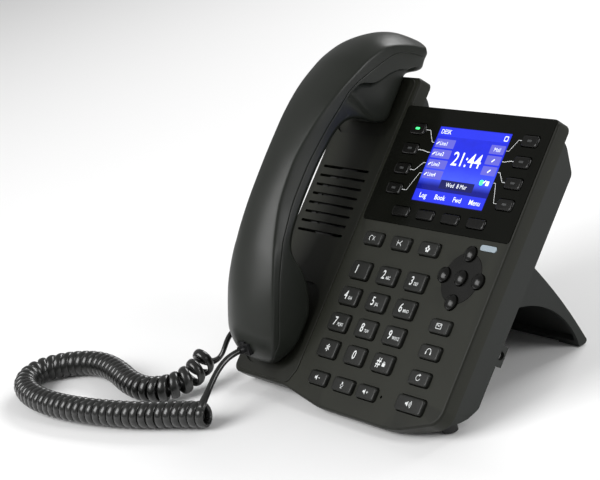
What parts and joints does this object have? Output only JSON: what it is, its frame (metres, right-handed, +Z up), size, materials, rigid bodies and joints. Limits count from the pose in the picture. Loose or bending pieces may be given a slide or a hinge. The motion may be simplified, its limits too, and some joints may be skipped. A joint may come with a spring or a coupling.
{
  "type": "desk telephone",
  "caption": "Sloping desk phone with a colour display, keypad, corded handset on its cradle, curly cord and clip-on rear stand.",
  "frame": {"origin": "bottom centre of the phone's box, cord left out, on the desk", "axes": "+X to the phone's right, +Y to its back, +Z up"},
  "size_m": [0.3199, 0.2411, 0.1661],
  "materials": {
    "cover_plastic": "fine moulded texture, charcoal",
    "case_plastic": "fine moulded texture, blue-grey charcoal",
    "handset_plastic": "satin charcoal",
    "display_gloss": "polished black with a clear screen area",
    "display_metal": "bent tray",
    "circuit_board": "green solder mask",
    "key_mat_rubber": "moulded silicone",
    "speaker_metal": "black",
    "gloss_black": "polished black",
    "key_plastic": "satin black with pale printed legends",
    "lamp_lens": "milky light guide",
    "foot_rubber": "soft black",
    "screw_steel": "dark zinc",
    "cord_plastic": "smooth black PVC",
    "plug_plastic": "smoked black"
  },
  "bodies": {
    "base": {"front_cover": "cover_plastic", "rear_cover": "case_plastic", "display_window": "display_gloss", "display_module": "display_metal", "main_board": "circuit_board", "key_mat": "key_mat_rubber", "loudspeaker": "speaker_metal", "nav_bezel": "gloss_black", "message_lamp": "lamp_lens", "rubber_feet": "foot_rubber", "case_screws": "screw_steel", "cord_handset_lead": "cord_plastic", "cord_coil": "cord_plastic", "cord_base_lead": "cord_plastic", "base_plug": "plug_plastic"},
    "handset": {"handset_outer_shell": "handset_plastic", "handset_inner_shell": "handset_plastic", "handset_capsules": "speaker_metal", "handset_plug": "plug_plastic"},
    "hook": {"hook_plunger": "key_plastic"},
    "stand": {"desk_stand": "case_plastic"},
    "line_key_left_1_body": {"line_key_left_1": "key_plastic"},
    "line_key_left_2_body": {"line_key_left_2": "key_plastic"},
    "line_key_left_3_body": {"line_key_left_3": "key_plastic"},
    "line_key_left_4_body": {"line_key_left_4": "key_plastic"},
    "line_key_right_1_body": {"line_key_right_1": "key_plastic"},
    "line_key_right_2_body": {"line_key_right_2": "key_plastic"},
    "line_key_right_3_body": {"line_key_right_3": "key_plastic"},
    "line_key_right_4_body": {"line_key_right_4": "key_plastic"},
    "soft_key_1_body": {"soft_key_1": "key_plastic"},
    "soft_key_2_body": {"soft_key_2": "key_plastic"},
    "soft_key_3_body": {"soft_key_3": "key_plastic"},
    "soft_key_4_body": {"soft_key_4": "key_plastic"},
    "hold_key_body": {"hold_key": "key_plastic"},
    "conference_key_body": {"conference_key": "key_plastic"},
    "directory_key_body": {"directory_key": "key_plastic"},
    "dial_one_body": {"dial_one": "key_plastic"},
    "dial_two_body": {"dial_two": "key_plastic"},
    "dial_three_body": {"dial_three": "key_plastic"},
    "dial_four_body": {"dial_four": "key_plastic"},
    "dial_five_body": {"dial_five": "key_plastic"},
    "dial_six_body": {"dial_six": "key_plastic"},
    "dial_seven_body": {"dial_seven": "key_plastic"},
    "dial_eight_body": {"dial_eight": "key_plastic"},
    "dial_nine_body": {"dial_nine": "key_plastic"},
    "dial_star_body": {"dial_star": "key_plastic"},
    "dial_zero_body": {"dial_zero": "key_plastic"},
    "dial_hash_body": {"dial_hash": "key_plastic"},
    "message_key_body": {"message_key": "key_plastic"},
    "headset_key_body": {"headset_key": "key_plastic"},
    "redial_key_body": {"redial_key": "key_plastic"},
    "speaker_key_body": {"speaker_key": "key_plastic"},
    "volume_down_key_body": {"volume_down_key": "key_plastic"},
    "mute_key_body": {"mute_key": "key_plastic"},
    "volume_up_key_body": {"volume_up_key": "key_plastic"},
    "nav_ok_key_body": {"nav_ok_key": "gloss_black"},
    "nav_up_key_body": {"nav_up_key": "gloss_black"},
    "nav_down_key_body": {"nav_down_key": "gloss_black"},
    "nav_left_key_body": {"nav_left_key": "gloss_black"},
    "nav_right_key_body": {"nav_right_key": "gloss_black"}
  },
  "joints": [
    {"name": "handset_lift", "type": "slide", "parent": "base", "child": "handset", "axis": [0, -0.7071, 0.7071], "range_m": [0, 0.08], "deforming": ["cord_handset_lead"]},
    {"name": "hook_rise", "type": "slide", "parent": "base", "child": "hook", "axis": [0, -0.7071, 0.7071], "range_m": [0, 0.003]},
    {"name": "stand_release", "type": "slide", "parent": "base", "child": "stand", "axis": [0, -0.7071, -0.7071], "range_m": [0, 0.006]},
    {"name": "line_key_left_1_press", "type": "slide", "parent": "base", "child": "line_key_left_1_body", "axis": [0, 0.7071, -0.7071], "range_m": [0, 0.001], "stiffness_N_per_m": 400, "springref_m": -0.0003},
    {"name": "line_key_left_2_press", "type": "slide", "parent": "base", "child": "line_key_left_2_body", "axis": [0, 0.7071, -0.7071], "range_m": [0, 0.001], "stiffness_N_per_m": 400, "springref_m": -0.0003},
    {"name": "line_key_left_3_press", "type": "slide", "parent": "base", "child": "line_key_left_3_body", "axis": [0, 0.7071, -0.7071], "range_m": [0, 0.001], "stiffness_N_per_m": 400, "springref_m": -0.0003},
    {"name": "line_key_left_4_press", "type": "slide", "parent": "base", "child": "line_key_left_4_body", "axis": [0, 0.7071, -0.7071], "range_m": [0, 0.001], "stiffness_N_per_m": 400, "springref_m": -0.0003},
    {"name": "line_key_right_1_press", "type": "slide", "parent": "base", "child": "line_key_right_1_body", "axis": [0, 0.7071, -0.7071], "range_m": [0, 0.001], "stiffness_N_per_m": 400, "springref_m": -0.0003},
    {"name": "line_key_right_2_press", "type": "slide", "parent": "base", "child": "line_key_right_2_body", "axis": [0, 0.7071, -0.7071], "range_m": [0, 0.001], "stiffness_N_per_m": 400, "springref_m": -0.0003},
    {"name": "line_key_right_3_press", "type": "slide", "parent": "base", "child": "line_key_right_3_body", "axis": [0, 0.7071, -0.7071], "range_m": [0, 0.001], "stiffness_N_per_m": 400, "springref_m": -0.0003},
    {"name": "line_key_right_4_press", "type": "slide", "parent": "base", "child": "line_key_right_4_body", "axis": [0, 0.7071, -0.7071], "range_m": [0, 0.001], "stiffness_N_per_m": 400, "springref_m": -0.0003},
    {"name": "soft_key_1_press", "type": "slide", "parent": "base", "child": "soft_key_1_body", "axis": [0, 0.7071, -0.7071], "range_m": [0, 0.001], "stiffness_N_per_m": 400, "springref_m": -0.0003},
    {"name": "soft_key_2_press", "type": "slide", "parent": "base", "child": "soft_key_2_body", "axis": [0, 0.7071, -0.7071], "range_m": [0, 0.001], "stiffness_N_per_m": 400, "springref_m": -0.0003},
    {"name": "soft_key_3_press", "type": "slide", "parent": "base", "child": "soft_key_3_body", "axis": [0, 0.7071, -0.7071], "range_m": [0, 0.001], "stiffness_N_per_m": 400, "springref_m": -0.0003},
    {"name": "soft_key_4_press", "type": "slide", "parent": "base", "child": "soft_key_4_body", "axis": [0, 0.7071, -0.7071], "range_m": [0, 0.001], "stiffness_N_per_m": 400, "springref_m": -0.0003},
    {"name": "hold_key_press", "type": "slide", "parent": "base", "child": "hold_key_body", "axis": [0, 0.7071, -0.7071], "range_m": [0, 0.001], "stiffness_N_per_m": 400, "springref_m": -0.0003},
    {"name": "conference_key_press", "type": "slide", "parent": "base", "child": "conference_key_body", "axis": [0, 0.7071, -0.7071], "range_m": [0, 0.001], "stiffness_N_per_m": 400, "springref_m": -0.0003},
    {"name": "directory_key_press", "type": "slide", "parent": "base", "child": "directory_key_body", "axis": [0, 0.7071, -0.7071], "range_m": [0, 0.001], "stiffness_N_per_m": 400, "springref_m": -0.0003},
    {"name": "dial_one_press", "type": "slide", "parent": "base", "child": "dial_one_body", "axis": [0, 0.7071, -0.7071], "range_m": [0, 0.001], "stiffness_N_per_m": 400, "springref_m": -0.0003},
    {"name": "dial_two_press", "type": "slide", "parent": "base", "child": "dial_two_body", "axis": [0, 0.7071, -0.7071], "range_m": [0, 0.001], "stiffness_N_per_m": 400, "springref_m": -0.0003},
    {"name": "dial_three_press", "type": "slide", "parent": "base", "child": "dial_three_body", "axis": [0, 0.7071, -0.7071], "range_m": [0, 0.001], "stiffness_N_per_m": 400, "springref_m": -0.0003},
    {"name": "dial_four_press", "type": "slide", "parent": "base", "child": "dial_four_body", "axis": [0, 0.7071, -0.7071], "range_m": [0, 0.001], "stiffness_N_per_m": 400, "springref_m": -0.0003},
    {"name": "dial_five_press", "type": "slide", "parent": "base", "child": "dial_five_body", "axis": [0, 0.7071, -0.7071], "range_m": [0, 0.001], "stiffness_N_per_m": 400, "springref_m": -0.0003},
    {"name": "dial_six_press", "type": "slide", "parent": "base", "child": "dial_six_body", "axis": [0, 0.7071, -0.7071], "range_m": [0, 0.001], "stiffness_N_per_m": 400, "springref_m": -0.0003},
    {"name": "dial_seven_press", "type": "slide", "parent": "base", "child": "dial_seven_body", "axis": [0, 0.7071, -0.7071], "range_m": [0, 0.001], "stiffness_N_per_m": 400, "springref_m": -0.0003},
    {"name": "dial_eight_press", "type": "slide", "parent": "base", "child": "dial_eight_body", "axis": [0, 0.7071, -0.7071], "range_m": [0, 0.001], "stiffness_N_per_m": 400, "springref_m": -0.0003},
    {"name": "dial_nine_press", "type": "slide", "parent": "base", "child": "dial_nine_body", "axis": [0, 0.7071, -0.7071], "range_m": [0, 0.001], "stiffness_N_per_m": 400, "springref_m": -0.0003},
    {"name": "dial_star_press", "type": "slide", "parent": "base", "child": "dial_star_body", "axis": [0, 0.7071, -0.7071], "range_m": [0, 0.001], "stiffness_N_per_m": 400, "springref_m": -0.0003},
    {"name": "dial_zero_press", "type": "slide", "parent": "base", "child": "dial_zero_body", "axis": [0, 0.7071, -0.7071], "range_m": [0, 0.001], "stiffness_N_per_m": 400, "springref_m": -0.0003},
    {"name": "dial_hash_press", "type": "slide", "parent": "base", "child": "dial_hash_body", "axis": [0, 0.7071, -0.7071], "range_m": [0, 0.001], "stiffness_N_per_m": 400, "springref_m": -0.0003},
    {"name": "message_key_press", "type": "slide", "parent": "base", "child": "message_key_body", "axis": [0, 0.7071, -0.7071], "range_m": [0, 0.001], "stiffness_N_per_m": 400, "springref_m": -0.0003},
    {"name": "headset_key_press", "type": "slide", "parent": "base", "child": "headset_key_body", "axis": [0, 0.7071, -0.7071], "range_m": [0, 0.001], "stiffness_N_per_m": 400, "springref_m": -0.0003},
    {"name": "redial_key_press", "type": "slide", "parent": "base", "child": "redial_key_body", "axis": [0, 0.7071, -0.7071], "range_m": [0, 0.001], "stiffness_N_per_m": 400, "springref_m": -0.0003},
    {"name": "speaker_key_press", "type": "slide", "parent": "base", "child": "speaker_key_body", "axis": [0, 0.7071, -0.7071], "range_m": [0, 0.001], "stiffness_N_per_m": 400, "springref_m": -0.0003},
    {"name": "volume_down_key_press", "type": "slide", "parent": "base", "child": "volume_down_key_body", "axis": [0, 0.7071, -0.7071], "range_m": [0, 0.001], "stiffness_N_per_m": 400, "springref_m": -0.0003},
    {"name": "mute_key_press", "type": "slide", "parent": "base", "child": "mute_key_body", "axis": [0, 0.7071, -0.7071], "range_m": [0, 0.001], "stiffness_N_per_m": 400, "springref_m": -0.0003},
    {"name": "volume_up_key_press", "type": "slide", "parent": "base", "child": "volume_up_key_body", "axis": [0, 0.7071, -0.7071], "range_m": [0, 0.001], "stiffness_N_per_m": 400, "springref_m": -0.0003},
    {"name": "nav_ok_key_press", "type": "slide", "parent": "base", "child": "nav_ok_key_body", "axis": [0, 0.7071, -0.7071], "range_m": [0, 0.001], "stiffness_N_per_m": 400, "springref_m": -0.0003},
    {"name": "nav_up_key_press", "type": "slide", "parent": "base", "child": "nav_up_key_body", "axis": [0, 0.7071, -0.7071], "range_m": [0, 0.001], "stiffness_N_per_m": 400, "springref_m": -0.0003},
    {"name": "nav_down_key_press", "type": "slide", "parent": "base", "child": "nav_down_key_body", "axis": [0, 0.7071, -0.7071], "range_m": [0, 0.001], "stiffness_N_per_m": 400, "springref_m": -0.0003},
    {"name": "nav_left_key_press", "type": "slide", "parent": "base", "child": "nav_left_key_body", "axis": [0, 0.7071, -0.7071], "range_m": [0, 0.001], "stiffness_N_per_m": 400, "springref_m": -0.0003},
    {"name": "nav_right_key_press", "type": "slide", "parent": "base", "child": "nav_right_key_body", "axis": [0, 0.7071, -0.7071], "range_m": [0, 0.001], "stiffness_N_per_m": 400, "springref_m": -0.0003}
  ],
  "couplings": [
    {"joint": "hook_rise", "follows": "handset_lift", "ratio": 0.0375}
  ]
}
